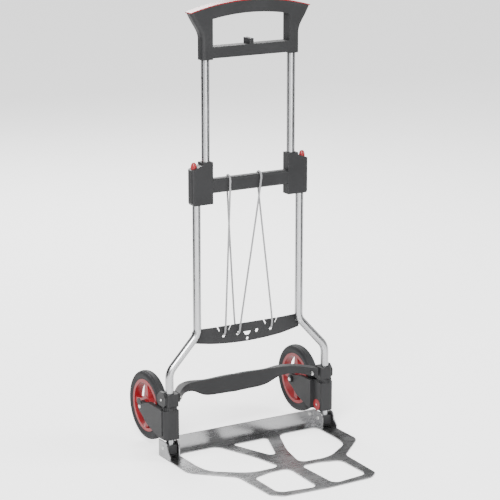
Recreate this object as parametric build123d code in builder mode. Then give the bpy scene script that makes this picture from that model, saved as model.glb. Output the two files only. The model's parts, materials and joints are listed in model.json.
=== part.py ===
"""A folding hand truck: telescopic handle, fold-up toe plate and wheels that turn in flat.

Millimetres. X runs to the right, -Y is the load side, +Z is up. The origin lies on the
toe plate's underside, midway between the legs, in the plane of the tubes.
Right-hand pieces are modelled and the left-hand ones are their mirror images.
"""

from build123d import *
import math
import os

os.makedirs("parts", exist_ok=True)

# ---- fits ----
gap = 0.3  # between pieces that move past each other
seat = 0.05  # round a piece that is pressed or clamped in a hole
running = 0.08  # radial play of a shaft in its bearing

# ---- tubes ----
tube_radius = 10.0
tube_wall = 1.5
inner_tube_x = 119.0
outer_tube_x = 145.0
leg_x = 223.0
leg_bend_radius = 38.0
upper_bend_z = 301.0
lower_bend_z = 217.0
outer_tube_top = 680.0
leg_bottom = 34.0
inner_tube_bottom = 640.0
inner_tube_top = 1060.0
handle_travel = 240.0

# ---- joint blocks ----
block_inner_x = 105.5
block_outer_x = 162.0
block_bottom = 624.0
block_top = 727.0
block_shoulder = 721.0
block_outer_top = 711.0
block_half_depth = 13.0
bush_height = 6.0
bush_wall = 1.5
block_screw_zs = (636.0, 714.0)
block_screw_radius = 2.0

# ---- release buttons and latch bolts ----
button_x = 151.5
button_radius = 7.4
button_top = 728.0
button_tip_radius = 2.6
button_travel = 3.0
button_stem_radius = 2.0
pocket_depth = 27.0
latch_z = 695.0
latch_height = 6.0
latch_width = 7.0
spring_wire = 1.1
spring_ledge = 699.0

# ---- crossbar ----
crossbar_z = 667.0
crossbar_height = 35.0
crossbar_depth = 25.0
crossbar_rounding = 6.0

# ---- handle ----
grip_half_depth = 15.0
socket_bottom = 973.0
socket_outer_x = 134.0
waist_z = 1019.0
tip_x = 164.0
tip_z = 1087.0
handle_top = 1110.0
strip_thickness = 2.5
opening_x = 105.5
low_bar_bottom = 976.0
low_bar_top = 1003.0
opening_side_top = 1069.0
opening_mid_top = 1079.0
peg_width = 11.0
peg_top = 1016.0

# ---- cord plate ----
plate_top = 309.0
plate_bottom_mid = 262.0
plate_bottom_end = 276.0
plate_front = 5.0
plate_thickness = 4.0
plate_crease_x = 98.0
plate_end_x = 153.0
end_hole_x = 67.0
middle_hole_x = 27.0
cord_hole_z = 285.0
cord_hole_radius = 5.0
rivet_radius = 2.5

# ---- collars and bow pivot ----
collar_bottom = 131.0
collar_top = 163.5
collar_inner_x = leg_x - 19.0
collar_outer_x = leg_x + 13.0
collar_front = 15.0
collar_back = 17.0
lug_radius = 20.0
lug_y = 9.0
lug_thickness = 8.0
pivot_y = 5.0
pivot_z = 147.0
pivot_radius = 4.0

# ---- bow bar ----
bow_end_x = leg_x - 23.5
bow_web = 5.0
bow_flange = 6.0
bow_end_start = bow_end_x - 15.5
bow_shares = (0.0, 0.25, 0.475, 0.625, 0.75, 0.85, 0.925, 1.0)  # stations along the half bow
bow_front = (66.0, 66.0, 63.0, 57.0, 45.0, 28.0, 11.0, -8.0)
bow_low = (113.0, 114.5, 121.0, 136.0, 142.0, 143.0, 140.5, 139.0)
bow_high = (158.0, 158.0, 158.0, 160.0, 162.0, 162.0, 162.0, 162.0)
bow_depth = (9.0, 9.0, 10.0, 18.0, 21.0, 25.0, 26.0, 26.0)

# ---- wheel forks ----
fork_bottom = 48.0
fork_top = 122.0
fork_front = 15.0
fork_back = 26.5
fork_inner_x = leg_x - 19.0
fork_outer_x = leg_x + 20.0
arm_pad = 2.0
arm_inner_face = leg_x - 28.0
arm_front = 22.5  # where the inner arm starts behind the tube plane
ring_radius = 18.5
ring_ribs = 20

# ---- wheels ----
axle_y = 117.0
axle_z = 100.5
axle_radius = 5.0
axle_inner_x = leg_x - 33.5
axle_outer_x = leg_x + 23.5
wheel_x = leg_x - 4.5
wheel_radius = 87.5
tyre_width = 26.0
tyre_height = 21.5
rim_radius = wheel_radius - tyre_height
rim_width = 22.0
rim_window_outer = rim_radius - 8
rim_window_inner = 24.0
hub_radius = 15.0
hub_width = 27.0
hub_bush_wall = 2.5
spokes = 4

# ---- toe plate ----
sheet = 3.0
hinge_y = 2.0
hinge_z = 25.5
hinge_pin_radius = 3.0
flange_y = 24.0
flange_top = 43.0
flange_rivet_x = leg_x - 30.0
flange_rivet_z = 34.0
ear_inner_x = leg_x - 17.0
ear_outer_x = leg_x + 18.5
ear_swing_radius = 21.5
window_side_x = leg_x - 21.5  # the folded wheel arm passes here
plug_swing_radius = 21.5
toe_front_y = -378.0


def write(piece, name):
    """Labels a finished piece and writes its STEP file."""
    piece.part.label = name
    export_step(piece.part, f"parts/{name}.step")


def write_pair(right, name):
    """Writes a right-hand piece and its mirror image for the left side."""
    write(right, "right_" + name)
    with BuildPart() as left:
        mirror(right.part, about=Plane.YZ)
    write(left, "left_" + name)


def rear_plane(x, y, z):
    """A sketch plane at a point, whose normal points to the rear (+Y), with its X to the left."""
    return Plane(origin=(x, y, z), x_dir=(-1, 0, 0), z_dir=(0, 1, 0))


def side_plane(x):
    """A sketch plane across the truck at x: sketch X is +Y, sketch Y is +Z, normal +X."""
    return Plane(origin=(x, 0, 0), x_dir=(0, 1, 0), z_dir=(1, 0, 0))


# ------------------------------------------------------------------ tubes
def bent_tube(points, bend_radius):
    """A hollow tube along straight runs joined by arcs, its first run along Z."""
    with BuildPart() as tube:
        with BuildLine() as path:
            if len(points) > 2:
                FilletPolyline(*points, radius=bend_radius)
            else:
                Polyline(*points)
        with BuildSketch(Plane(origin=points[0], z_dir=(0, 0, points[1][2] - points[0][2]))):
            Circle(tube_radius)
            Circle(tube_radius - tube_wall, mode=Mode.SUBTRACT)
        sweep(path=path.line)
    return tube


outer_tube_route = [
    (outer_tube_x, 0, outer_tube_top),
    (outer_tube_x, 0, upper_bend_z),
    (leg_x, 0, lower_bend_z),
    (leg_x, 0, leg_bottom),
]
plate_rivet_z = (plate_top + plate_bottom_end) / 2 + 2
outer_tube_blank = bent_tube(outer_tube_route, leg_bend_radius)
with BuildPart() as outer_tube:
    add(outer_tube_blank.part)
    with BuildSketch(rear_plane(outer_tube_x, 0, plate_rivet_z)):
        Circle(rivet_radius)
    extrude(amount=tube_radius + 1, mode=Mode.SUBTRACT)
write_pair(outer_tube, "outer_tube")

latch_hole_radius = latch_width / 2 + 1
inner_tube_route = [(inner_tube_x, 0, inner_tube_bottom), (inner_tube_x, 0, inner_tube_top)]
inner_tube_blank = bent_tube(inner_tube_route, 0)
with BuildPart() as inner_tube:
    add(inner_tube_blank.part)
    for hole_z in (latch_z, latch_z + handle_travel - 5):
        with BuildSketch(Plane(origin=(inner_tube_x, 0, hole_z), z_dir=(1, 0, 0))):
            Circle(latch_hole_radius)
        extrude(amount=tube_radius + 1, mode=Mode.SUBTRACT)
write_pair(inner_tube, "inner_tube")

plug_bore = tube_radius - tube_wall
with BuildPart() as tube_end_plug:
    with BuildSketch(Plane.XY.offset(inner_tube_bottom - 2)):
        with Locations((inner_tube_x, 0)):
            Circle(tube_radius - 0.2)
    extrude(amount=2)
    with BuildSketch(Plane.XY.offset(inner_tube_bottom)):
        with Locations((inner_tube_x, 0)):
            Circle(plug_bore)
    extrude(amount=18)
write_pair(tube_end_plug, "tube_end_plug")

# ------------------------------------------------------------------ joint blocks
bore_radius = tube_radius + gap
bush_radius = bore_radius + bush_wall
bush_bottom = block_top - bush_height
pocket_radius = button_radius + gap
pocket_floor = block_outer_top - pocket_depth
latch_nose_x = inner_tube_x + bore_radius + 0.1
latch_tail_x = button_x + pocket_radius - button_travel - 0.4
block_step_x = inner_tube_x + bush_radius + 2.5
block_screw_x = (inner_tube_x + outer_tube_x) / 2

with BuildPart() as joint_block:
    with BuildSketch(Plane.XZ):
        with BuildLine():
            Polyline(
                (block_inner_x, block_bottom),
                (block_outer_x - 5, block_bottom),
                (block_outer_x, block_bottom + 7),
                (block_outer_x, block_outer_top),
                (block_step_x, block_shoulder),
                (block_step_x, block_top),
                (block_inner_x, block_top),
                close=True,
            )
        make_face()
    extrude(amount=block_half_depth, both=True)
    fillet(joint_block.edges().filter_by(Axis.Z).group_by(Axis.X)[-1], radius=5)
    # through bore for the sliding tube, blind bore for the fixed one
    with BuildSketch(Plane.XY.offset(block_bottom)):
        with Locations((inner_tube_x, 0)):
            Circle(bore_radius)
    extrude(amount=block_top - block_bottom, mode=Mode.SUBTRACT)
    with BuildSketch(Plane.XY.offset(block_bottom)):
        with Locations((outer_tube_x, 0)):
            Circle(tube_radius + seat)
    extrude(amount=outer_tube_top - block_bottom, mode=Mode.SUBTRACT)
    # seat of the guide bush
    with BuildSketch(Plane.XY.offset(bush_bottom)):
        with Locations((inner_tube_x, 0)):
            Circle(bush_radius)
    extrude(amount=bush_height, mode=Mode.SUBTRACT)
    # button pocket, with a narrow slot for bolt and stem below the spring's ledge
    with BuildSketch(Plane.XY.offset(spring_ledge)):
        with Locations((button_x, 0)):
            Circle(pocket_radius)
    extrude(amount=block_top - spring_ledge, mode=Mode.SUBTRACT)
    with BuildSketch(Plane.XY.offset(pocket_floor)):
        with Locations((button_x, 0)):
            Rectangle(2 * pocket_radius, latch_width + 2 * gap)
    extrude(amount=spring_ledge - pocket_floor, mode=Mode.SUBTRACT)
    # guide channel of the latch bolt
    with BuildSketch(Plane(origin=(inner_tube_x, 0, latch_z), z_dir=(1, 0, 0), x_dir=(0, 1, 0))):
        Rectangle(latch_width + 2 * gap, latch_height + 2 * gap)
    extrude(amount=button_x - inner_tube_x, mode=Mode.SUBTRACT)
    # screw holes and their counterbores
    for screw_z in block_screw_zs:
        with BuildSketch(rear_plane(block_screw_x, -block_half_depth + 5, screw_z)):
            Circle(block_screw_radius)
        extrude(amount=2 * block_half_depth, mode=Mode.SUBTRACT)
        with BuildSketch(rear_plane(block_screw_x, block_half_depth - 2.5, screw_z)):
            Circle(2 * block_screw_radius)
        extrude(amount=5, mode=Mode.SUBTRACT)
write_pair(joint_block, "joint_block")

with BuildPart() as guide_bush:
    with BuildSketch(Plane.XY.offset(bush_bottom)):
        with Locations((inner_tube_x, 0)):
            Circle(bush_radius)
            Circle(bore_radius, mode=Mode.SUBTRACT)
    extrude(amount=bush_height + 1)
write_pair(guide_bush, "guide_bush")


def countersunk_screw(x, head_y, z, radius, length):
    """A socket screw whose flat head faces the rear at head_y."""
    with BuildPart() as screw:
        with BuildSketch(rear_plane(x, head_y - 2.4, z)):
            Circle(2 * radius)
        extrude(amount=2.2)
        with BuildSketch(rear_plane(x, head_y - 2.4 - length, z)):
            Circle(radius)
        extrude(amount=length)
        with BuildSketch(rear_plane(x, head_y - 1.4, z)):
            RegularPolygon(radius=radius, side_count=6)
        extrude(amount=2, mode=Mode.SUBTRACT)
    return screw


with BuildPart() as block_screws:
    for screw_x in (-block_screw_x, block_screw_x):
        for screw_z in block_screw_zs:
            add(countersunk_screw(screw_x, block_half_depth, screw_z, block_screw_radius, 14).part)
write(block_screws, "block_screws")

# ------------------------------------------------------------------ release
button_flange_bottom = spring_ledge + 7
with BuildPart() as release_button:
    with BuildSketch(Plane.XZ):
        with BuildLine():
            Polyline(
                (0, pocket_floor + button_travel + 0.5),
                (button_stem_radius, pocket_floor + button_travel + 0.5),
                (button_stem_radius, button_flange_bottom),
                (button_radius, button_flange_bottom),
                (button_radius, block_outer_top + 4),
            )
            Spline(
                (button_radius, block_outer_top + 4),
                (button_radius - 1.5, button_top - 4),
                (button_tip_radius, button_top),
                tangents=[(0, 1), (-1, 0.4)],
            )
            Line((button_tip_radius, button_top), (0, button_top))
            Line((0, button_top), (0, pocket_floor + button_travel + 0.5))
        make_face()
    revolve(axis=Axis.Z)
with BuildPart() as placed_button:
    with Locations((button_x, 0, 0)):
        add(release_button.part)
write_pair(placed_button, "release_button")

slot_end_x = button_x + button_stem_radius + gap
slot_start_x = button_x - button_stem_radius - gap - button_travel
with BuildPart() as latch_bolt:
    with BuildSketch(Plane.XY.offset(latch_z - latch_height / 2)):
        with Locations(((latch_nose_x + latch_tail_x) / 2, 0)):
            Rectangle(latch_tail_x - latch_nose_x, latch_width)
        with Locations(((slot_start_x + slot_end_x) / 2, 0)):
            Rectangle(slot_end_x - slot_start_x, 2 * button_stem_radius + 2 * gap, mode=Mode.SUBTRACT)
    extrude(amount=latch_height)
    fillet(latch_bolt.edges().filter_by(Axis.Y).group_by(Axis.X)[0], radius=1.2)
write_pair(latch_bolt, "latch_bolt")

spring_radius = button_radius - spring_wire / 2 - 0.6
spring_height = button_flange_bottom - spring_ledge - spring_wire - 0.2
with BuildPart() as button_spring:
    with BuildLine() as coil:
        Helix(pitch=spring_height / 2.5, height=spring_height, radius=spring_radius)
    with BuildSketch(Plane(origin=coil.line @ 0, z_dir=coil.line % 0)):
        Circle(spring_wire / 2)
    sweep(path=coil.line, is_frenet=True)
with BuildPart() as placed_spring:
    with Locations((button_x, 0, spring_ledge + spring_wire / 2 + 0.1)):
        add(button_spring.part)
write_pair(placed_spring, "button_spring")

# ------------------------------------------------------------------ crossbar
with BuildPart() as crossbar:
    with BuildSketch(side_plane(-block_inner_x)):
        with Locations((0, crossbar_z)):
            RectangleRounded(crossbar_depth, crossbar_height, crossbar_rounding)
    extrude(amount=2 * block_inner_x)
write(crossbar, "upper_crossbar")

# ------------------------------------------------------------------ handle
strip_seat = handle_top - strip_thickness
tip_seat_z = tip_z - strip_thickness
with BuildPart() as handle_frame:
    with BuildSketch(Plane.XZ):
        with BuildLine():
            ThreePointArc((-tip_x, tip_seat_z), (0, strip_seat), (tip_x, tip_seat_z))
            for side in (-1, 1):
                Spline(
                    (side * tip_x, tip_seat_z),
                    (side * 148, 1056),
                    (side * socket_outer_x, waist_z),
                    tangents=[(-side * 0.5, -1), (0, -1)],
                )
                Line((side * socket_outer_x, waist_z), (side * socket_outer_x, socket_bottom))
                Line((side * socket_outer_x, socket_bottom), (side * opening_x, socket_bottom))
                Line((side * opening_x, socket_bottom), (side * opening_x, low_bar_bottom))
            Line((-opening_x, low_bar_bottom), (opening_x, low_bar_bottom))
        make_face()
        with BuildLine(mode=Mode.PRIVATE) as window_outline:
            ThreePointArc((-opening_x, opening_side_top), (0, opening_mid_top), (opening_x, opening_side_top))
            Polyline(
                (opening_x, opening_side_top),
                (opening_x, low_bar_top),
                (-opening_x, low_bar_top),
                (-opening_x, opening_side_top),
            )
        make_face(window_outline.edges(), mode=Mode.SUBTRACT)
        with Locations((0, (low_bar_top + peg_top) / 2)):
            Rectangle(peg_width, peg_top - low_bar_top + 1)
    extrude(amount=grip_half_depth, both=True)
    side_edges = handle_frame.edges().filter_by(
        lambda edge: abs(edge.center().Y) > grip_half_depth - 0.1
        and abs(edge.center().X) > socket_outer_x - 2
        and edge.center().Z > socket_bottom + 1
    )
    fillet(side_edges, radius=9)
    for side in (-1, 1):
        with BuildSketch(Plane.XY.offset(socket_bottom)):
            with Locations((side * inner_tube_x, 0)):
                Circle(tube_radius + seat)
        extrude(amount=inner_tube_top - socket_bottom, mode=Mode.SUBTRACT)
write(handle_frame, "handle_frame")

with BuildPart() as handle_strip:
    with BuildSketch(Plane.XZ):
        with BuildLine():
            ThreePointArc((-tip_x, tip_z), (0, handle_top), (tip_x, tip_z))
            Line((tip_x, tip_z), (tip_x, tip_seat_z))
            ThreePointArc((tip_x, tip_seat_z), (0, strip_seat), (-tip_x, tip_seat_z))
            Line((-tip_x, tip_seat_z), (-tip_x, tip_z))
        make_face()
    extrude(amount=grip_half_depth - 1, both=True)
write(handle_strip, "handle_strip")

socket_rivet_z = socket_bottom + 16
with BuildPart() as socket_rivets:
    for side in (-1, 1):
        with BuildSketch(rear_plane(side * inner_tube_x, grip_half_depth, socket_rivet_z)):
            Circle(4)
        extrude(amount=1.6)
write(socket_rivets, "socket_rivets")

# ------------------------------------------------------------------ cord plate
crease_reach = math.hypot(outer_tube_x - plate_crease_x, plate_front)
crease_lean = math.atan2(plate_front, outer_tube_x - plate_crease_x)
wing_angle = math.asin((tube_radius + 0.05) / crease_reach) - crease_lean
wing_length = (plate_end_x - plate_crease_x) / math.cos(wing_angle)


def wing_point(distance, offset):
    """A point of the right wing, at a distance from its crease and an offset behind its front."""
    return (
        plate_crease_x + distance * math.cos(wing_angle) - offset * math.sin(wing_angle),
        plate_front + distance * math.sin(wing_angle) + offset * math.cos(wing_angle),
    )


front_corner = wing_point(wing_length, 0)
rear_corner = wing_point(wing_length, plate_thickness)
rear_crease_x = plate_crease_x - plate_thickness * math.tan(wing_angle / 2)
with BuildPart() as cord_plate:
    with BuildSketch(Plane.XY.offset(plate_bottom_mid - 5)):
        with BuildLine():
            Polyline(
                (-front_corner[0], front_corner[1]),
                (-plate_crease_x, plate_front),
                (plate_crease_x, plate_front),
                front_corner,
                rear_corner,
                (rear_crease_x, plate_front + plate_thickness),
                (-rear_crease_x, plate_front + plate_thickness),
                (-rear_corner[0], rear_corner[1]),
                close=True,
            )
        make_face()
    extrude(amount=plate_top - plate_bottom_mid + 10)
    with BuildSketch(Plane.XZ):
        with BuildLine():
            ThreePointArc(
                (-plate_end_x + 1, plate_bottom_end),
                (0, plate_bottom_mid),
                (plate_end_x - 1, plate_bottom_end),
            )
            Polyline(
                (plate_end_x - 1, plate_bottom_end),
                (plate_end_x - 1, plate_top - 6),
                (plate_end_x - 7, plate_top),
                (-plate_end_x + 7, plate_top),
                (-plate_end_x + 1, plate_top - 6),
                (-plate_end_x + 1, plate_bottom_end),
            )
        make_face()
        for hole_x in (-end_hole_x, -middle_hole_x, middle_hole_x, end_hole_x):
            with Locations((hole_x, cord_hole_z)):
                Circle(cord_hole_radius, mode=Mode.SUBTRACT)
        # bottle-opener shaped slot with a round hole under it
        with Locations((0, 282)):
            Trapezoid(24, 10, 57, rotation=180, mode=Mode.SUBTRACT)
        with Locations((0, 268.5)):
            Circle(4.2, mode=Mode.SUBTRACT)
        # two slanted slots beside each spring tongue in the top edge
        for tongue_x in (-66, 66):
            for lean in (-1, 1):
                with Locations(Location((tongue_x + lean * 17, plate_top - 4), lean * -28)):
                    SlotOverall(18, 4, rotation=90, mode=Mode.SUBTRACT)
        for rivet_x in (-outer_tube_x, outer_tube_x):
            with Locations((rivet_x, plate_rivet_z)):
                Circle(rivet_radius, mode=Mode.SUBTRACT)
    extrude(amount=40, both=True, mode=Mode.INTERSECT)
write(cord_plate, "cord_plate")

rivet_seat_y = plate_front + plate_thickness + 52 * math.tan(wing_angle) + 0.2
with BuildPart() as plate_rivets:
    for side in (-1, 1):
        with BuildSketch(rear_plane(side * outer_tube_x, tube_radius - tube_wall, plate_rivet_z)):
            Circle(rivet_radius)
        extrude(amount=rivet_seat_y - tube_radius + tube_wall)
        with BuildSketch(rear_plane(side * outer_tube_x, rivet_seat_y, plate_rivet_z)):
            Circle(2 * rivet_radius)
        extrude(amount=2, taper=20)
write(plate_rivets, "cord_plate_rivets")

# ------------------------------------------------------------------ elastic cord
cord_radius = 2.25
cord_clear = 3.6  # centreline to the crossbar's faces
over_top = crossbar_z + crossbar_height / 2 + cord_clear
bar_front = -crossbar_depth / 2 - cord_clear
bar_back = crossbar_depth / 2 + cord_clear
behind_plate = plate_front + plate_thickness + 8
before_plate = plate_front - 7
cord_route = [
    (-67, 22, 285),
    (-67, 5, 285),
    (-66.8, before_plate, 297),
    (-66.5, before_plate - 1, 320),
    (-60.5, bar_front, 662),
    (-60, bar_front, over_top),
    (-52, bar_back, over_top),
    (-51.5, bar_back, 662),
    (-31, behind_plate + 1, 325),
    (-28, behind_plate, 297),
    (-27, behind_plate - 4, 285),
    (-26.5, 2, 284),
    (-25.5, before_plate, 297),
    (-23.5, before_plate - 1, 320),
    (25.5, bar_front, 662),
    (27, bar_front, over_top),
    (33, bar_back, over_top),
    (34, bar_back, 662),
    (65.5, before_plate, 322),
    (66.8, before_plate, 297),
    (67, 5, 285),
    (67, 22, 285),
]


def corner_radii(points, share, least, most):
    """A radius for each corner: as large as its two runs allow, within the given limits."""
    radii = []
    for before, corner, after in zip(points, points[1:], points[2:]):
        run_in = Vector(*corner) - Vector(*before)
        run_out = Vector(*after) - Vector(*corner)
        half_turn = math.radians(run_in.get_angle(run_out)) / 2
        shorter = min(run_in.length, run_out.length)
        radii.append(min(most, max(least, share * shorter / math.tan(half_turn))))
    return radii


cord_radii = corner_radii(cord_route, 0.45, 3.0, 400.0)
print("cord radii", [round(radius, 1) for radius in cord_radii])
with BuildPart() as elastic_cord:
    with BuildLine() as cord_path:
        FilletPolyline(*cord_route, radius=cord_radii)
    with BuildSketch(Plane(origin=cord_route[0], z_dir=(0, -1, 0))):
        Circle(cord_radius)
    sweep(path=cord_path.line)
cord_length = sum(edge.length for edge in cord_path.line.edges())
cord_fill = elastic_cord.part.volume / (math.pi * cord_radius**2 * cord_length)
print("cord length", round(cord_length, 1), "volume over section times length", round(cord_fill, 4))
write(elastic_cord, "elastic_cord")

with BuildPart() as cord_knots:
    for side in (-1, 1):
        with BuildSketch(rear_plane(side * 67, 22, 285)):
            Circle(4.5)
        extrude(amount=7)
        fillet(cord_knots.edges().filter_by(GeomType.CIRCLE).filter_by(
            lambda edge: edge.center().X * side > 0), radius=2)
write(cord_knots, "cord_knots")

# ------------------------------------------------------------------ collars
lug_inner_x = ear_outer_x - lug_thickness
with BuildPart() as leg_collar:
    with BuildSketch(Plane.XY.offset(collar_bottom)):
        with BuildLine():
            Polyline(
                (collar_inner_x, -collar_front),
                (collar_outer_x, -collar_front),
                (collar_outer_x, collar_back),
                (collar_inner_x, collar_back),
                close=True,
            )
        make_face()
    extrude(amount=collar_top - collar_bottom)
    fillet(leg_collar.edges().filter_by(Axis.Z), radius=5)
    with BuildSketch(side_plane(lug_inner_x)):
        with Locations((lug_y, pivot_z)):
            RegularPolygon(radius=lug_radius, side_count=8, major_radius=False, rotation=22.5)
        with Locations((lug_y, collar_bottom + lug_radius)):
            Rectangle(3 * lug_radius, 2 * lug_radius, mode=Mode.INTERSECT)
    extrude(amount=lug_thickness)
    with BuildSketch(Plane.XY.offset(collar_bottom - 1)):
        with Locations((leg_x, 0)):
            Circle(tube_radius + seat)
    extrude(amount=collar_top - collar_bottom + 2, mode=Mode.SUBTRACT)
    with BuildSketch(side_plane(collar_inner_x)):
        with Locations((pivot_y, pivot_z)):
            Circle(pivot_radius)
    extrude(amount=leg_x - collar_inner_x, mode=Mode.SUBTRACT)
write_pair(leg_collar, "leg_collar")

with BuildPart() as collar_rivets:
    for side in (-1, 1):
        with BuildSketch(side_plane(side * ear_outer_x)):
            with Locations((lug_y, pivot_z)):
                Circle(3.2)
        extrude(amount=side * 1.4, taper=15)
write(collar_rivets, "collar_rivets")

pin_head_x = bow_end_x - 8.5  # the bow hangs between this head and the collar
pin_outer_x = leg_x - math.sqrt(tube_radius**2 - (pivot_y - pivot_radius) ** 2) - 0.3
with BuildPart() as bow_pin:
    with BuildSketch(side_plane(pin_head_x - 2.5)):
        with Locations((pivot_y, pivot_z)):
            Circle(pivot_radius)
    extrude(amount=pin_outer_x - pin_head_x + 2.5)
    with BuildSketch(side_plane(pin_head_x - 2.5)):
        with Locations((pivot_y, pivot_z)):
            Circle(pivot_radius + 2)
    extrude(amount=2.5)
write_pair(bow_pin, "bow_pin")

# ------------------------------------------------------------------ bow bar
def station_line(heights):
    """A smooth line through one value for each bow station."""
    return Spline(*[(share * bow_end_x, value) for share, value in zip(bow_shares, heights)])


def bow_layer(depths, lows, highs):
    """The right half of the bow between its front and a depth behind it, from one height to another."""
    rears = [front + depth for front, depth in zip(bow_front, depths)]
    with BuildPart() as layer:
        with BuildSketch(Plane.XY):
            with BuildLine():
                front_line = station_line(bow_front)
                rear_line = station_line(rears)
                Line(front_line @ 0, rear_line @ 0)
                Line(front_line @ 1, rear_line @ 1)
            make_face()
        extrude(amount=2 * bow_high[-1])
        with BuildSketch(Plane.XZ):
            with BuildLine():
                low_line = station_line(lows)
                high_line = station_line(highs)
                Line(low_line @ 0, high_line @ 0)
                Line(low_line @ 1, high_line @ 1)
            make_face()
        extrude(amount=2 * bow_front[0], both=True, mode=Mode.INTERSECT)
    return layer


flange_lows = [high - bow_flange for high in bow_high]
bow_full = bow_layer(bow_depth, bow_low, bow_high)
bow_front_web = bow_layer([bow_web] * len(bow_shares), bow_low, bow_high)
bow_top_flange = bow_layer(bow_depth, flange_lows, bow_high)
with BuildPart() as bow_end:
    add(bow_full.part)
    with BuildSketch(Plane.XY):
        with Locations((bow_end_start + bow_end_x, 0)):
            Rectangle(2 * bow_end_x, 4 * bow_front[0])
    extrude(amount=2 * bow_high[-1], mode=Mode.INTERSECT)
with BuildPart() as bow_half:
    add(bow_front_web.part)
    add(bow_top_flange.part)
    add(bow_end.part)
    with BuildSketch(side_plane(bow_end_x)):
        with Locations((pivot_y, pivot_z)):
            Circle(pivot_radius + running)
    extrude(amount=pin_head_x + gap - bow_end_x, mode=Mode.SUBTRACT)
    with BuildSketch(side_plane(pin_head_x + gap)):
        with Locations((pivot_y, pivot_z)):
            Circle(pivot_radius + 2 + gap)
    extrude(amount=-20, mode=Mode.SUBTRACT)
with BuildPart() as bow_bar:
    add(bow_half.part)
    mirror(bow_half.part, about=Plane.YZ)
write(bow_bar, "bow_bar")

# ------------------------------------------------------------------ wheel forks
arm_gap_low = wheel_x - tyre_width / 2 - 1
arm_gap_high = wheel_x + tyre_width / 2 + 1
arm_low_line = [
    (130.0, 95.0),
    (112.0, 82.0),
    (95.0, 70.0),
    (70.0, 60.0),
    (46.0, 53.0),
    (arm_front + 2, fork_bottom),
]


def arm_outline(start_y, rim_width_low):
    """The side outline of an arm from start_y to the axle, its lower edge raised by a rim's width."""
    low = [(y, z + rim_width_low) for y, z in arm_low_line]
    low[0] = (low[0][0] - rim_width_low, low[0][1])
    with BuildLine() as outline:
        tip = ThreePointArc((axle_y - 4, axle_z + 13.4), (axle_y + 12.5, axle_z + 6), low[0])
        Spline(*low, tangents=[tip % 1, (-1, -0.15)])
        Polyline(low[-1], (start_y, low[-1][1]), (start_y, fork_top), (70, fork_top))
        Spline((70, fork_top), tip @ 0, tangents=[(1, 0), tip % 0])
    return outline


with BuildPart() as wheel_fork:
    with BuildSketch(Plane.XY.offset(fork_bottom)):
        with BuildLine():
            Polyline(
                (fork_inner_x, -fork_front),
                (fork_outer_x, -fork_front),
                (fork_outer_x, fork_back),
                (fork_inner_x, fork_back),
                close=True,
            )
        make_face()
    extrude(amount=fork_top - fork_bottom)
    fillet(wheel_fork.edges().filter_by(Axis.Z).group_by(Axis.Y)[0].sort_by(Axis.X)[-1], radius=12)
    fillet(wheel_fork.edges().filter_by(Axis.Z).group_by(Axis.Y)[0].sort_by(Axis.X)[0], radius=3)
    with BuildSketch(side_plane(arm_inner_face)):
        make_face(arm_outline(arm_front, 0).line)
    extrude(amount=arm_gap_low - arm_inner_face)
    with BuildSketch(side_plane(arm_gap_high)):
        make_face(arm_outline(0, 0).line)
    extrude(amount=fork_outer_x - arm_gap_high)
    with BuildSketch(side_plane(fork_outer_x)):
        make_face(arm_outline(2, 7).line)
    extrude(amount=arm_pad)
    # bosses round the axle
    with BuildSketch(side_plane(arm_inner_face)):
        with Locations((axle_y, axle_z)):
            Circle(9)
    extrude(amount=-4)
    # room for the wheel, bores for leg and axle
    with BuildSketch(side_plane(arm_gap_low)):
        with Locations((axle_y, axle_z)):
            Circle(wheel_radius + 3)
    extrude(amount=arm_gap_high - arm_gap_low, mode=Mode.SUBTRACT)
    with BuildSketch(Plane.XY.offset(fork_bottom)):
        with Locations((leg_x, 0)):
            Circle(tube_radius + gap)
    extrude(amount=fork_top - fork_bottom, mode=Mode.SUBTRACT)
    with BuildSketch(side_plane(0)):
        with Locations((axle_y, axle_z)):
            Circle(axle_radius + seat)
    extrude(amount=2 * leg_x, mode=Mode.SUBTRACT)
    # small sight hole low on the outer side
    with BuildSketch(side_plane(fork_outer_x - 3)):
        with Locations((-1, 66)):
            Circle(1.8)
    extrude(amount=8, mode=Mode.SUBTRACT)
write_pair(wheel_fork, "wheel_fork")

with BuildPart() as drive_ring:
    with BuildSketch(Plane.XY.offset(fork_top)):
        with Locations((leg_x, 0)):
            Circle(ring_radius)
            Circle(tube_radius + gap, mode=Mode.SUBTRACT)
            with PolarLocations(ring_radius, ring_ribs):
                Rectangle(4, 0.45 * 2 * math.pi * ring_radius / ring_ribs, mode=Mode.SUBTRACT)
    extrude(amount=collar_bottom - fork_top - gap)
write_pair(drive_ring, "drive_ring")

stop_disc_y = 5.0
stop_disc_z = 61.0
stop_disc_radius = 14.5
with BuildPart() as stop_disc:
    with BuildSketch(side_plane(fork_inner_x)):
        with Locations((stop_disc_y, stop_disc_z)):
            Circle(stop_disc_radius)
            Circle(2.5, mode=Mode.SUBTRACT)
    extrude(amount=-1)
    disc_edges = stop_disc.edges().filter_by(GeomType.CIRCLE).group_by(Axis.X)[0]
    fillet(disc_edges.sort_by(SortBy.LENGTH)[-1], radius=0.8)
write_pair(stop_disc, "stop_disc")

with BuildPart() as stop_disc_pin:
    with BuildSketch(side_plane(fork_inner_x)):
        with Locations((stop_disc_y, stop_disc_z)):
            Circle(2.5)
    extrude(amount=-1)
write_pair(stop_disc_pin, "stop_disc_pin")

with BuildPart() as axle:
    with BuildSketch(side_plane(axle_inner_x)):
        with Locations((axle_y, axle_z)):
            Circle(axle_radius)
    extrude(amount=axle_outer_x - axle_inner_x)
    chamfer(axle.edges().filter_by(GeomType.CIRCLE), length=1)
write_pair(axle, "axle")

# ------------------------------------------------------------------ wheels
bush_outer = axle_radius + running + hub_bush_wall
wheel_axis = Axis((wheel_x, axle_y, axle_z), (1, 0, 0))


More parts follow.
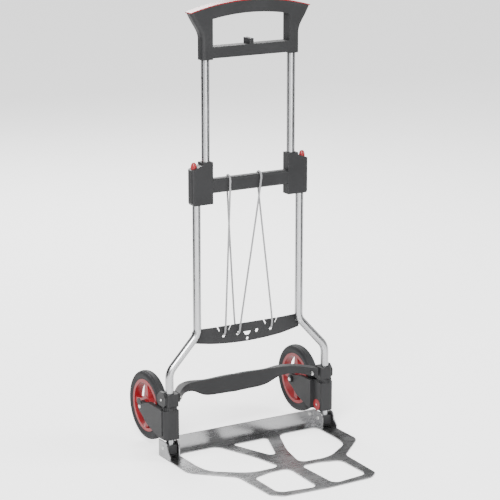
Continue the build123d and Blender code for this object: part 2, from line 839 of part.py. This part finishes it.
def wheel_ring(x, width, outer, inner):
    """A ring on the wheel's axis, starting at x."""
    with BuildPart() as ring:
        with BuildSketch(side_plane(x)):
            with Locations((axle_y, axle_z)):
                Circle(outer)
                Circle(inner, mode=Mode.SUBTRACT)
        extrude(amount=width)
    return ring.part


wheel_bush_blank = wheel_ring(wheel_x - hub_width / 2, hub_width, bush_outer, axle_radius + running)
with BuildPart() as wheel_bush:
    add(wheel_bush_blank)
write_pair(wheel_bush, "wheel_bush")

rim_rings = [
    wheel_ring(wheel_x - rim_width / 2, rim_width, rim_radius, rim_window_outer),
    wheel_ring(wheel_x - hub_width / 2 + 0.5, hub_width - 1, hub_radius, bush_outer),
    wheel_ring(wheel_x - rim_width / 2 + 2, rim_width - 4, rim_window_inner, bush_outer),
]
spoke_start = rim_window_inner - 6
spoke_end = rim_window_outer + 4
with BuildPart() as wheel_rim:
    for rim_ring in rim_rings:
        add(rim_ring)
    with BuildSketch(side_plane(wheel_x - rim_width / 2 + 3)):
        with Locations((axle_y, axle_z)):
            with PolarLocations(0, spokes):
                with Locations(((spoke_start + spoke_end) / 2, 0)):
                    Trapezoid(26, spoke_end - spoke_start, 80, rotation=-90)
            Circle(bush_outer + 1, mode=Mode.SUBTRACT)
    extrude(amount=rim_width - 6)
write_pair(wheel_rim, "wheel_rim")

tyre_shoulder = 8.0
with BuildPart() as tyre:
    with BuildSketch(Plane(origin=(wheel_x, axle_y, axle_z), x_dir=(1, 0, 0), z_dir=(0, -1, 0))):
        with BuildLine():
            Polyline(
                (-tyre_width / 2 + 1.5, rim_radius),
                (tyre_width / 2 - 1.5, rim_radius),
                (tyre_width / 2, rim_radius + 4),
                (tyre_width / 2, wheel_radius - tyre_shoulder),
            )
            ThreePointArc(
                (tyre_width / 2, wheel_radius - tyre_shoulder),
                (0, wheel_radius),
                (-tyre_width / 2, wheel_radius - tyre_shoulder),
            )
            Polyline(
                (-tyre_width / 2, wheel_radius - tyre_shoulder),
                (-tyre_width / 2, rim_radius + 4),
                (-tyre_width / 2 + 1.5, rim_radius),
            )
        make_face()
    revolve(axis=wheel_axis)
write_pair(tyre, "tyre")

# ------------------------------------------------------------------ toe plate
flange_front = flange_y - sheet


def rounded_face(corners):
    """A closed outline from corners of (x, y, radius), each rounded by its own radius."""
    with BuildSketch() as face:
        with BuildLine():
            Polyline(*[(x, y) for x, y, radius in corners], close=True)
        make_face()
        for x, y, radius in corners:
            if radius:
                fillet(face.vertices().sort_by_distance((x, y, 0))[0], radius=radius)
    return face.sketch


plate_half = [
    (ear_outer_x, flange_y, 0),
    (ear_outer_x, -126, 38),
    (152, -211, 30),
    (147, -350, 16),
    (122, -372, 22),
]
plate_corners = plate_half + [(0, toe_front_y, 0)] + [(-x, y, radius) for x, y, radius in plate_half[::-1]]
rear_window = [
    (90, 3, 30),
    (window_side_x, 3, 18),
    (window_side_x, -98, 150),
    (window_side_x - 8.5, -143, 55),
    (112, -203, 90),
    (27, -200, 18),
    (47, -105, 300),
]
front_window = [(17, -219, 18), (70, -220, 90), (123, -236, 20), (124, -348, 22), (22, -362, 18)]
middle_window = [(-52, -4, 10), (52, -4, 10), (0, -140, 12)]
windows = [rounded_face(middle_window)]
for side in (-1, 1):
    for window in (rear_window, front_window):
        windows.append(rounded_face([(side * x, y, radius) for x, y, radius in window]))
plate_blank = rounded_face(plate_corners)
with BuildPart() as toe_plate:
    with BuildSketch(Plane.XY):
        add(plate_blank)
        add(windows, mode=Mode.SUBTRACT)
    extrude(amount=sheet)
    # upturned rear flange between the inner ears
    with BuildSketch(side_plane(-ear_inner_x - sheet)):
        with Locations((flange_y - sheet / 2, flange_top / 2)):
            Rectangle(sheet, flange_top)
    extrude(amount=2 * (ear_inner_x + sheet))
    # two ears at each leg; the outer one keeps a foot in front
    ear_top = flange_top - hinge_z
    ear_shoulder = math.sqrt(ear_swing_radius**2 - ear_top**2)
    for side in (-1, 1):
        for ear_x, toe in ((ear_inner_x, 0.5), (ear_outer_x - sheet, 15)):
            with BuildSketch(side_plane(side * (ear_x + sheet / 2) - sheet / 2)):
                with BuildLine():
                    Polyline(
                        (hinge_y - ear_swing_radius, hinge_z),
                        (hinge_y - ear_swing_radius - toe, hinge_z - toe),
                        (hinge_y - ear_swing_radius - toe, 0),
                        (flange_y, 0),
                        (flange_y, flange_top),
                        (hinge_y - ear_shoulder, flange_top),
                    )
                    ThreePointArc(
                        (hinge_y - ear_shoulder, flange_top),
                        (
                            hinge_y - ear_swing_radius * math.cos(math.radians(27)),
                            hinge_z + ear_swing_radius * math.sin(math.radians(27)),
                        ),
                        (hinge_y - ear_swing_radius, hinge_z),
                    )
                make_face()
            extrude(amount=sheet)
    with BuildSketch(side_plane(-ear_outer_x - 1)):
        with Locations((hinge_y, hinge_z)):
            Circle(hinge_pin_radius + seat)
    extrude(amount=2 * ear_outer_x + 2, mode=Mode.SUBTRACT)
    for side in (-1, 1):
        with BuildSketch(rear_plane(side * flange_rivet_x, flange_front - 1, flange_rivet_z)):
            Circle(2.5)
        extrude(amount=sheet + 2, mode=Mode.SUBTRACT)
write(toe_plate, "toe_plate")

with BuildPart() as hinge_rivets:
    for side in (-1, 1):
        with BuildSketch(side_plane(side * ear_inner_x)):
            with Locations((hinge_y, hinge_z)):
                Circle(hinge_pin_radius)
        extrude(amount=side * (ear_outer_x - ear_inner_x))
        for head_x, outward in ((ear_inner_x, -1), (ear_outer_x, 1)):
            with BuildSketch(side_plane(side * head_x)):
                with Locations((hinge_y, hinge_z)):
                    Circle(5)
            extrude(amount=side * outward * 1.4, taper=20)
write(hinge_rivets, "hinge_rivets")

with BuildPart() as flange_rivets:
    for side in (-1, 1):
        with BuildSketch(rear_plane(side * flange_rivet_x, flange_front, flange_rivet_z)):
            Circle(2.5)
        extrude(amount=sheet)
        with BuildSketch(rear_plane(side * flange_rivet_x, flange_front - 1.2, flange_rivet_z)):
            Circle(4)
        extrude(amount=1.2)
write(flange_rivets, "flange_rivets")

plug_side = gap + 1.2
with BuildPart() as foot_plug:
    with BuildSketch(side_plane(ear_inner_x + sheet + plug_side)):
        with Locations((hinge_y, hinge_z)):
            Circle(plug_swing_radius - 1)
        with Locations((hinge_y - 1, leg_bottom - 30)):
            Rectangle(28, 60, mode=Mode.INTERSECT)
    extrude(amount=ear_outer_x - ear_inner_x - 2 * sheet - 2 * plug_side)
    with BuildSketch(Plane.XY.offset(leg_bottom)):
        with Locations((leg_x, 0)):
            Circle(plug_bore - seat)
    extrude(amount=24)
    with BuildSketch(side_plane(ear_inner_x)):
        with Locations((hinge_y, hinge_z)):
            Circle(hinge_pin_radius + running)
    extrude(amount=ear_outer_x - ear_inner_x, mode=Mode.SUBTRACT)
write_pair(foot_plug, "foot_plug")
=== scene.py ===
import json
import math
import bpy
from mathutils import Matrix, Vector


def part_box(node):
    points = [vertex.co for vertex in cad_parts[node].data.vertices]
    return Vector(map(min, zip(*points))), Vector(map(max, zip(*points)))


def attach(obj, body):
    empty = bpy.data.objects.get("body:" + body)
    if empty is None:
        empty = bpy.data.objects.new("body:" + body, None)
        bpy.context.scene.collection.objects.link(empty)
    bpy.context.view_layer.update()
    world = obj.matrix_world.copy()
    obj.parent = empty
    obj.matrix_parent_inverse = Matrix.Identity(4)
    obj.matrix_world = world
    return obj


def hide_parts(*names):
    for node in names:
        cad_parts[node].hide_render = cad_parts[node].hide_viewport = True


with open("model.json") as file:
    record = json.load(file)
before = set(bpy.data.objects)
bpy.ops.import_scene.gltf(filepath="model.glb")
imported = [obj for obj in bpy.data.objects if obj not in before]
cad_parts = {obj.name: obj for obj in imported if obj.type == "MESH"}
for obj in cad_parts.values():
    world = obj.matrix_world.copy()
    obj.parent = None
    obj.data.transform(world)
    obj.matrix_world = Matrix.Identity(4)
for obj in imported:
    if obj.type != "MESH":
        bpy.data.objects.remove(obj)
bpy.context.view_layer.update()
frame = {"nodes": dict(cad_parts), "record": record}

print("frame loaded:", len(frame["nodes"]), "nodes")

mm = 0.001


def deselectAll():
    if bpy.context.object and bpy.context.object.mode == "EDIT":
        bpy.ops.object.mode_set(mode="OBJECT")
    bpy.ops.object.select_all(action="DESELECT")


def settle(piece):
    # place goes into the mesh, object stays at the origin
    deselectAll()
    piece.select_set(True)
    bpy.context.view_layer.objects.active = piece
    bpy.ops.object.transform_apply(location=True, rotation=True, scale=True)


# camera
cameraSettings = {
    "aim": (0.004, 0.0, 0.494),
    "distance": 4.917,
    "azimuth": 30.43,
    "down": 14.11,
    "lens": 144.7,
}


def makeCamera(values):
    azimuth = math.radians(values["azimuth"])
    down = math.radians(values["down"])
    forward = Vector((
        math.sin(azimuth) * math.cos(down), math.cos(azimuth) * math.cos(down), -math.sin(down)
    ))
    bpy.ops.object.camera_add(
        location=Vector(values["aim"]) - forward * values["distance"],
        rotation=(math.pi / 2 - down, 0, -azimuth),
    )
    camera = bpy.context.object
    camera.name = "viewCamera"
    camera.data.lens = values["lens"]
    camera.data.sensor_width = 36
    bpy.context.scene.camera = camera


deselectAll()
makeCamera(cameraSettings)
print("camera placed")

# elastic cord: laced between the crossbar and the plate
cord = {
    "diameter": 4.5,
    "length": 1.71,
    "route": [
        (-67, 22, 285), (-67, 5, 285), (-66.8, -2, 297), (-66.5, -3, 320),
        (-60.5, -16.1, 662), (-60, -16.1, 688.1), (-52, 16.1, 688.1), (-51.5, 16.1, 662),
        (-31, 18, 325), (-28, 17, 297), (-27, 13, 285), (-26.5, 2, 284), (-25.5, -2, 297),
        (-23.5, -3, 320), (25.5, -16.1, 662), (27, -16.1, 688.1), (33, 16.1, 688.1),
        (34, 16.1, 662), (65.5, -2, 322), (66.8, -2, 297), (67, 5, 285), (67, 22, 285),
    ],
    "knotRadius": 3.0,
    "knotStrand": 1.7,
    "knotPlace": (67, 25.5, 285),
    "knotTurns": 14,
    "knotDepth": 1.9,
    "knotSwing": (0.45, 0.4),  # mean reach and its wave, as shares of the radius
}


def splineObject(name, points, radius, ends):
    curve = bpy.data.curves.new(name, "CURVE")
    curve.dimensions = "3D"
    line = curve.splines.new("NURBS")
    line.points.add(len(points) - 1)
    for point, place in zip(line.points, points):
        point.co = (place[0] * mm, place[1] * mm, place[2] * mm, 1)
        point.radius = radius * mm
    line.order_u = 3
    line.use_endpoint_u = ends
    line.use_cyclic_u = not ends
    line.resolution_u = 12
    curve.bevel_depth = 1.0  # times each point's radius
    curve.bevel_resolution = 5
    curve.use_fill_caps = ends
    piece = bpy.data.objects.new(name, curve)
    bpy.context.collection.objects.link(piece)
    return piece


elasticCord = splineObject("elasticCord", cord["route"], cord["diameter"] / 2, True)


def makeKnot(name, side):
    # a stopper knot: one strand wound as a small trefoil behind the plate
    x, y, z = cord["knotPlace"]
    x = x * side
    reach, wave = cord["knotSwing"]
    loop = []
    for step in range(cord["knotTurns"]):
        t = 2 * math.pi * step / cord["knotTurns"]
        swing = cord["knotRadius"] * (reach + wave * math.cos(3 * t))
        loop.append((
            x + swing * math.cos(2 * t),
            y + cord["knotDepth"] * math.sin(3 * t),
            z + swing * math.sin(2 * t),
        ))
    return splineObject(name, loop, cord["knotStrand"], False)


def asMesh(piece):
    deselectAll()
    piece.select_set(True)
    bpy.context.view_layer.objects.active = piece
    bpy.ops.object.convert(target="MESH")
    return bpy.context.object


knots = [asMesh(makeKnot(side + "CordKnot", way)) for side, way in (("left", -1), ("right", 1))]
for knot in knots:
    knot.data.shade_smooth()
    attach(knot, "frame")
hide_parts("cord_knots")
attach(elasticCord, "frame")
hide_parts("elastic_cord")
print("cord laid")


# shader groups: each gives masks, heights, tones or normals only
def newGroup(name, inputs, outputs):
    group = bpy.data.node_groups.new(name, "ShaderNodeTree")
    for label, value in inputs:
        kind = "NodeSocketVector" if isinstance(value, tuple) else "NodeSocketFloat"
        socket = group.interface.new_socket(label, in_out="INPUT", socket_type=kind)
        socket.default_value = value
    for label, kind in outputs:
        group.interface.new_socket(label, in_out="OUTPUT", socket_type=kind)
    return group, group.nodes.new("NodeGroupInput"), group.nodes.new("NodeGroupOutput")


def addNode(tree, kind, settings=None, values=None):
    node = tree.nodes.new(kind)
    for key, value in (settings or {}).items():
        setattr(node, key, value)
    for key, value in (values or {}).items():
        node.inputs[key].default_value = value
    return node


def mathNode(tree, operation, first, second, clamp=False):
    node = addNode(tree, "ShaderNodeMath", {"operation": operation, "use_clamp": clamp})
    for slot, value in enumerate((first, second)):
        if isinstance(value, (int, float)):
            node.inputs[slot].default_value = value
        else:
            tree.links.new(value, node.inputs[slot])
    return node.outputs[0]


def rangeNode(tree, value, low, high, toLow, toHigh):
    node = addNode(tree, "ShaderNodeMapRange", {"clamp": True})
    for key, number in zip(("From Min", "From Max", "To Min", "To Max"), (low, high, toLow, toHigh)):
        node.inputs[key].default_value = number
    tree.links.new(value, node.inputs["Value"])
    return node.outputs["Result"]


def objectPlace(tree, scale):
    place = addNode(tree, "ShaderNodeTexCoord").outputs["Object"]
    mapping = addNode(tree, "ShaderNodeMapping")
    tree.links.new(place, mapping.inputs["Vector"])
    if isinstance(scale, tuple):
        mapping.inputs["Scale"].default_value = scale
    else:
        tree.links.new(scale, mapping.inputs["Scale"])
    return mapping.outputs["Vector"]


def noise(tree, place, scale, detail=3.0, roughness=0.55):
    node = addNode(tree, "ShaderNodeTexNoise", None, {"Detail": detail, "Roughness": roughness})
    tree.links.new(place, node.inputs["Vector"])
    if isinstance(scale, (int, float)):
        node.inputs["Scale"].default_value = scale
    else:
        tree.links.new(scale, node.inputs["Scale"])
    return node.outputs["Fac"]


def makeMouldedGrain():
    # fine spark-eroded texture with a slow tone change from flow in the mould
    group, given, out = newGroup(
        "mouldedGrain", [("grainScale", 900.0), ("flowScale", 9.0)],
        [("height", "NodeSocketFloat"), ("tone", "NodeSocketFloat")],
    )
    place = objectPlace(group, (1, 1, 1))
    cells = addNode(group, "ShaderNodeTexVoronoi", {"feature": "SMOOTH_F1"}, {"Smoothness": 0.6})
    group.links.new(place, cells.inputs["Vector"])
    group.links.new(given.outputs["grainScale"], cells.inputs["Scale"])
    fine = noise(group, place, given.outputs["grainScale"], 2.0)
    group.links.new(mathNode(group, "ADD", cells.outputs["Distance"], fine), out.inputs["height"])
    flow = noise(group, place, given.outputs["flowScale"], 4.0)
    mixed = mathNode(group, "ADD", mathNode(group, "MULTIPLY", flow, 0.8),
                     mathNode(group, "MULTIPLY", fine, 0.2))
    group.links.new(mixed, out.inputs["tone"])
    return group


def makeRoundedEdge():
    # softened edge normal, and a mask along the edges for rub marks
    group, given, out = newGroup(
        "roundedEdge", [("patchScale", 60.0)],
        [("normal", "NodeSocketVector"), ("rub", "NodeSocketFloat")],
    )
    soft = addNode(group, "ShaderNodeBevel", {"samples": 6}, {"Radius": 0.0007})
    group.links.new(soft.outputs["Normal"], out.inputs["normal"])
    wide = addNode(group, "ShaderNodeBevel", {"samples": 6}, {"Radius": 0.0012})
    flat = addNode(group, "ShaderNodeNewGeometry")
    dot = addNode(group, "ShaderNodeVectorMath", {"operation": "DOT_PRODUCT"})
    group.links.new(wide.outputs["Normal"], dot.inputs[0])
    group.links.new(flat.outputs["Normal"], dot.inputs[1])
    edge = rangeNode(group, dot.outputs["Value"], 0.995, 0.9, 0.0, 1.0)
    place = objectPlace(group, (1, 1, 1))
    patches = rangeNode(group, noise(group, place, given.outputs["patchScale"], 5.0), 0.4, 0.7, 0, 1)
    group.links.new(mathNode(group, "MULTIPLY", edge, patches, True), out.inputs["rub"])
    return group


def makeDrawnLines():
    # hairlines left by drawing or rolling, stretched along one axis
    group, given, out = newGroup(
        "drawnLines", [("stretch", (1.0, 1.0, 0.02)), ("lineScale", 700.0)],
        [("height", "NodeSocketFloat"), ("tone", "NodeSocketFloat")],
    )
    place = objectPlace(group, given.outputs["stretch"])
    lines = noise(group, place, given.outputs["lineScale"], 6.0, 0.7)
    group.links.new(lines, out.inputs["height"])
    even = objectPlace(group, (1, 1, 1))
    clouds = noise(group, even, 14.0, 5.0)
    mixed = mathNode(group, "ADD", mathNode(group, "MULTIPLY", lines, 0.6),
                     mathNode(group, "MULTIPLY", clouds, 0.4))
    group.links.new(mixed, out.inputs["tone"])
    return group


def makeScuffs():
    # short random scratches and smears from boxes sliding on and off
    group, given, out = newGroup(
        "scuffs", [("scuffScale", 45.0)],
        [("scratch", "NodeSocketFloat"), ("smear", "NodeSocketFloat")],
    )
    place = objectPlace(group, (1, 1, 1))
    bend = addNode(group, "ShaderNodeTexNoise", None, {"Scale": 6.0, "Detail": 2.0})
    group.links.new(place, bend.inputs["Vector"])
    shifted = addNode(group, "ShaderNodeVectorMath", {"operation": "MULTIPLY_ADD"})
    group.links.new(bend.outputs["Color"], shifted.inputs[0])
    shifted.inputs[1].default_value = (0.08, 0.08, 0.08)
    group.links.new(place, shifted.inputs[2])
    cracks = addNode(group, "ShaderNodeTexVoronoi", {"feature": "DISTANCE_TO_EDGE"})
    group.links.new(shifted.outputs["Vector"], cracks.inputs["Vector"])
    group.links.new(given.outputs["scuffScale"], cracks.inputs["Scale"])
    thin = rangeNode(group, cracks.outputs["Distance"], 0.0, 0.012, 1.0, 0.0)
    some = rangeNode(group, noise(group, place, 20.0, 4.0), 0.52, 0.62, 0.0, 1.0)
    group.links.new(mathNode(group, "MULTIPLY", thin, some, True), out.inputs["scratch"])
    group.links.new(rangeNode(group, noise(group, place, 11.0, 6.0), 0.35, 0.75, 0, 1),
                    out.inputs["smear"])
    return group


groups = {
    "grain": makeMouldedGrain(),
    "edge": makeRoundedEdge(),
    "lines": makeDrawnLines(),
    "scuffs": makeScuffs(),
}
print("shader groups made")


def startMaterial(name, colour, metallic, specular=0.5):
    material = bpy.data.materials.new(name)
    material.use_nodes = True
    tree = material.node_tree
    shader = tree.nodes["Principled BSDF"]
    shader.inputs["Metallic"].default_value = metallic
    shader.inputs["Specular IOR Level"].default_value = specular
    shader.inputs["Base Color"].default_value = (*colour, 1)
    return material, tree, shader


def useGroup(tree, key, values=None):
    node = addNode(tree, "ShaderNodeGroup", {"node_tree": groups[key]})
    for label, value in (values or {}).items():
        node.inputs[label].default_value = value
    return node


def mixColours(tree, factor, first, second):
    node = addNode(tree, "ShaderNodeMix", {"data_type": "RGBA"})
    tree.links.new(factor, node.inputs["Factor"])
    for slot, value in ((6, first), (7, second)):
        if isinstance(value, tuple):
            node.inputs[slot].default_value = (*value, 1)
        else:
            tree.links.new(value, node.inputs[slot])
    return node.outputs[2]


def shades(colour, darker, lighter):
    return tuple(c * darker for c in colour), tuple(c * lighter for c in colour)


def bumpFrom(tree, shader, height, distance, strength, normal=None):
    bump = addNode(tree, "ShaderNodeBump", None, {"Strength": strength, "Distance": distance})
    tree.links.new(height, bump.inputs["Height"])
    if normal is not None:
        tree.links.new(normal, bump.inputs["Normal"])
    tree.links.new(bump.outputs["Normal"], shader.inputs["Normal"])


def makePlastic(name, values):
    material, tree, shader = startMaterial(name, values["colour"], 0.0, values["specular"])
    grain = useGroup(tree, "grain", {"grainScale": values["grain"]})
    edge = useGroup(tree, "edge")
    dark, light = shades(values["colour"], 0.86, 1.14)
    tone = rangeNode(tree, grain.outputs["tone"], 0.3, 0.7, 0, 1)
    body = mixColours(tree, tone, dark, light)
    tree.links.new(mixColours(tree, edge.outputs["rub"], body, values["rubbed"]),
                   shader.inputs["Base Color"])
    low, high = values["roughness"]
    rough = rangeNode(tree, grain.outputs["tone"], 0.3, 0.7, low, high)
    tree.links.new(rough, shader.inputs["Roughness"])
    bumpFrom(tree, shader, grain.outputs["height"], 0.00012, values["bump"],
             edge.outputs["normal"])
    return material


plastics = {
    "greyMoulding": {"colour": (0.0175, 0.0176, 0.0185), "rubbed": (0.045, 0.0455, 0.047),
                     "roughness": (0.42, 0.55), "specular": 0.3, "grain": 1100.0, "bump": 0.35},
    "darkGear": {"colour": (0.012, 0.012, 0.013), "rubbed": (0.035, 0.035, 0.035),
                 "roughness": (0.4, 0.55), "specular": 0.4, "grain": 1300.0, "bump": 0.25},
    "redMoulding": {"colour": (0.23, 0.008, 0.012), "rubbed": (0.33, 0.035, 0.04),
                    "roughness": (0.3, 0.42), "specular": 0.5, "grain": 1500.0, "bump": 0.16},
}
tyreRubber = {"colour": (0.015, 0.0152, 0.0165), "rubbed": (0.04, 0.04, 0.04),
              "roughness": (0.55, 0.72), "specular": 0.35, "grain": 700.0, "bump": 0.5}


def makeMetal(name, values):
    material, tree, shader = startMaterial(name, values["colour"], 1.0)
    lines = useGroup(tree, "lines", {"stretch": values["stretch"], "lineScale": values["lines"]})
    edge = useGroup(tree, "edge")
    scuffs = useGroup(tree, "scuffs", {"scuffScale": values["scuffs"]})
    dark, light = shades(values["colour"], 0.88, 1.06)
    tone = rangeNode(tree, lines.outputs["tone"], 0.35, 0.65, 0, 1)
    body = mixColours(tree, tone, dark, light)
    marks = mathNode(tree, "MULTIPLY", scuffs.outputs["scratch"], values["wear"], True)
    tree.links.new(mixColours(tree, marks, body, values["bright"]), shader.inputs["Base Color"])
    low, high = values["roughness"]
    base = rangeNode(tree, lines.outputs["tone"], 0.35, 0.65, low, high)
    smeared = mathNode(tree, "MULTIPLY", scuffs.outputs["smear"], 0.06)
    tree.links.new(mathNode(tree, "ADD", base, smeared, True), shader.inputs["Roughness"])
    bumpFrom(tree, shader, lines.outputs["height"], 0.00004, values["bump"],
             edge.outputs["normal"])
    return material


metals = {
    "drawnTube": {"colour": (0.53, 0.535, 0.545), "bright": (0.72, 0.72, 0.72),
                  "stretch": (1.0, 1.0, 0.015), "lines": 900.0, "roughness": (0.2, 0.3),
                  "scuffs": 30.0, "wear": 0.25, "bump": 0.2},
    "sheetPlate": {"colour": (0.39, 0.39, 0.395), "bright": (0.58, 0.58, 0.58),
                   "stretch": (0.02, 1.0, 1.0), "lines": 800.0, "roughness": (0.2, 0.3),
                   "scuffs": 26.0, "wear": 0.5, "bump": 0.3},
    "zincSteel": {"colour": (0.7, 0.7, 0.69), "bright": (0.85, 0.85, 0.85),
                  "stretch": (1.0, 1.0, 1.0), "lines": 500.0, "roughness": (0.2, 0.34),
                  "scuffs": 60.0, "wear": 0.3, "bump": 0.2},
}


def makeCordWeave(name, values):
    # braided sheath: two sets of slanted strands around and along the cord, with painted shade in
    # the grooves between them
    material, tree, shader = startMaterial(name, values["colour"], 0.0, 0.3)
    place = objectPlace(tree, (1, 1, 1))
    heights = []
    for slant in (1, -1):
        strands = addNode(tree, "ShaderNodeTexWave", {"wave_type": "BANDS", "bands_direction": "X"},
                          {"Scale": values["strands"], "Distortion": 0.4, "Detail": 1.0})
        turned = addNode(tree, "ShaderNodeMapping", None,
                         {"Rotation": (0, slant * math.radians(38), slant * math.radians(20))})
        tree.links.new(place, turned.inputs["Vector"])
        tree.links.new(turned.outputs["Vector"], strands.inputs["Vector"])
        heights.append(strands.outputs["Fac"])
    woven = mathNode(tree, "MAXIMUM", heights[0], heights[1])
    fuzz = noise(tree, place, 1800.0, 3.0)
    # painted shade and light: the sheath colour follows the strand height, darker in the grooves
    # between strands and lighter on the strand tops, varied by random fuzz
    dark, light = shades(values["colour"], 0.6, 1.15)
    tone = mathNode(tree, "MULTIPLY", woven, mathNode(tree, "ADD", fuzz, 0.5), True)
    tree.links.new(mixColours(tree, tone, dark, light), shader.inputs["Base Color"])
    shader.inputs["Roughness"].default_value = 0.7
    shader.inputs["Sheen Weight"].default_value = 0.25
    bumpFrom(tree, shader, woven, 0.0003, 0.6)
    return material


materials = {
    "grey_plastic": makePlastic("greyMoulding", plastics["greyMoulding"]),
    "red_plastic": makePlastic("redMoulding", plastics["redMoulding"]),
    "tyre": makePlastic("tyreRubber", tyreRubber),
    "tube_metal": makeMetal("drawnTube", metals["drawnTube"]),
    "plate_metal": makeMetal("sheetPlate", metals["sheetPlate"]),
    "steel": makeMetal("zincSteel", metals["zincSteel"]),
    "cord": makeCordWeave("cordWeave", {"colour": (0.23, 0.23, 0.235), "strands": 420.0}),
}
darkGear = makePlastic("darkGear", plastics["darkGear"])


def dress(piece, material):
    piece.data.materials.clear()
    piece.data.materials.append(material)


for entry in frame["record"]["subparts"]:
    dress(frame["nodes"][entry["node"]], materials[entry["material_slot"]])
for node in ("left_drive_ring", "right_drive_ring", "left_foot_plug", "right_foot_plug",
             "left_guide_bush", "right_guide_bush"):
    dress(frame["nodes"][node], darkGear)
dress(frame["nodes"]["cord_plate"], materials["grey_plastic"])
for piece in (elasticCord, *knots):
    dress(piece, materials["cord"])
print("materials dressed")


# tyres: a bead, a bulged wall, a stepped shoulder and a grooved tread
tyre = {
    "steps": 128,
    # half profile from the bead to the middle of the tread: sideways, radius
    "profile": [(10.6, 66.0), (11.4, 67.0), (11.9, 68.6), (11.6, 70.2), (12.3, 71.6), (12.95, 75.0),
                (12.9, 78.5), (12.2, 81.2), (10.9, 83.4), (9.6, 84.7), (8.2, 85.6), (7.9, 84.8),
                (6.6, 84.9), (6.2, 86.3), (4.0, 86.9), (0.0, 87.2)],
}


def makeTyre(name, node, body):
    low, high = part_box(node)
    centre = (low + high) / 2
    side = tyre["profile"]
    rings = side + [(-x, r) for x, r in reversed(side[:-1])]
    deselectAll()
    bpy.ops.mesh.primitive_circle_add(
        vertices=tyre["steps"], radius=rings[0][1] * mm, location=centre,
        rotation=(0, math.pi / 2, 0), fill_type="NOTHING",
    )
    piece = bpy.context.object
    piece.name = name
    settle(piece)
    bpy.ops.object.mode_set(mode="EDIT")
    bpy.ops.mesh.select_all(action="SELECT")
    bpy.ops.transform.translate(value=(rings[0][0] * mm, 0, 0))
    for before, after in zip(rings, rings[1:] + rings[:1]):
        bpy.ops.mesh.extrude_region_move(
            TRANSFORM_OT_translate={"value": ((after[0] - before[0]) * mm, 0, 0)})
        share = after[1] / before[1]
        bpy.ops.transform.resize(value=(1, share, share), center_override=centre)
    bpy.ops.mesh.select_all(action="SELECT")
    bpy.ops.mesh.remove_doubles(threshold=0.00002)
    bpy.ops.mesh.normals_make_consistent(inside=False)
    bpy.ops.object.mode_set(mode="OBJECT")
    piece.data.shade_smooth()
    dress(piece, materials["tyre"])
    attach(piece, body)
    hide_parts(node)


for side in ("left", "right"):
    makeTyre(side + "Tyre", side + "_tyre", side + "_wheel")
print("tyres modelled")

# floor and lights
studio = {
    "floorSize": 30.0,
    "floorGlow": 1.2,
    "lights": [
        ("keySoftbox", (-2.6, -2.8, 3.4), 2.2, 420.0),
        ("rightSoftbox", (3.2, -1.8, 2.2), 1.6, 130.0),
        ("backSoftbox", (0.6, 3.0, 2.8), 1.8, 190.0),
        ("lowFill", (-0.6, -4.2, 0.7), 1.6, 40.0),
    ],
    "world": 0.5,
    # black cards out of the picture, which the tubes mirror as dark stripes
    "cards": [
        ("leftCard", (-1.12, 0.42, 0.75), (1.1, 1.5)),
        ("rightCard", (0.91, -0.78, 0.75), (1.1, 1.5)),
        ("rearCard", (1.25, 1.35, 0.45), (1.0, 0.9)),
    ],
}


def makeFloor():
    deselectAll()
    bpy.ops.mesh.primitive_grid_add(
        x_subdivisions=2, y_subdivisions=2, size=studio["floorSize"], location=(0, 0, -0.0002)
    )
    floor = bpy.context.object
    floor.name = "studioFloor"
    settle(floor)
    material, tree, shader = startMaterial("paleFloor", (0.93, 0.93, 0.93), 0.0, 0.1)
    shader.inputs["Roughness"].default_value = 0.9
    # the floor glows only to the eye, so the ground is nearly white
    shader.inputs["Emission Color"].default_value = (1, 1, 1, 1)
    eye = addNode(tree, "ShaderNodeLightPath").outputs["Is Camera Ray"]
    tree.links.new(mathNode(tree, "MULTIPLY", eye, studio["floorGlow"]),
                   shader.inputs["Emission Strength"])
    dress(floor, material)


def makeCards():
    material, tree, shader = startMaterial("blackCard", (0.01, 0.01, 0.01), 0.0, 0.0)
    for name, place, size in studio["cards"]:
        deselectAll()
        aim = Vector((0, 0, place[2])) - Vector(place)
        bpy.ops.mesh.primitive_grid_add(
            x_subdivisions=2, y_subdivisions=2, size=1, location=place,
            rotation=aim.to_track_quat("-Z", "Y").to_euler(),
        )
        card = bpy.context.object
        card.name = name
        card.scale = (size[0], size[1], 1)
        settle(card)
        card.visible_camera = False
        card.visible_diffuse = False
        card.visible_shadow = False
        dress(card, material)


def makeLights():
    for name, place, size, power in studio["lights"]:
        deselectAll()
        aim = Vector((0, 0, 0.5)) - Vector(place)
        bpy.ops.object.light_add(type="AREA", location=place,
                                 rotation=aim.to_track_quat("-Z", "Y").to_euler())
        light = bpy.context.object
        light.name = name
        light.data.shape = "SQUARE"
        light.data.size = size
        light.data.energy = power
    world = bpy.data.worlds.new("studioWorld")
    bpy.context.scene.world = world
    world.use_nodes = True
    world.node_tree.nodes["Background"].inputs["Color"].default_value = (1, 1, 1, 1)
    world.node_tree.nodes["Background"].inputs["Strength"].default_value = studio["world"]


makeFloor()
makeCards()
makeLights()
print("studio set")
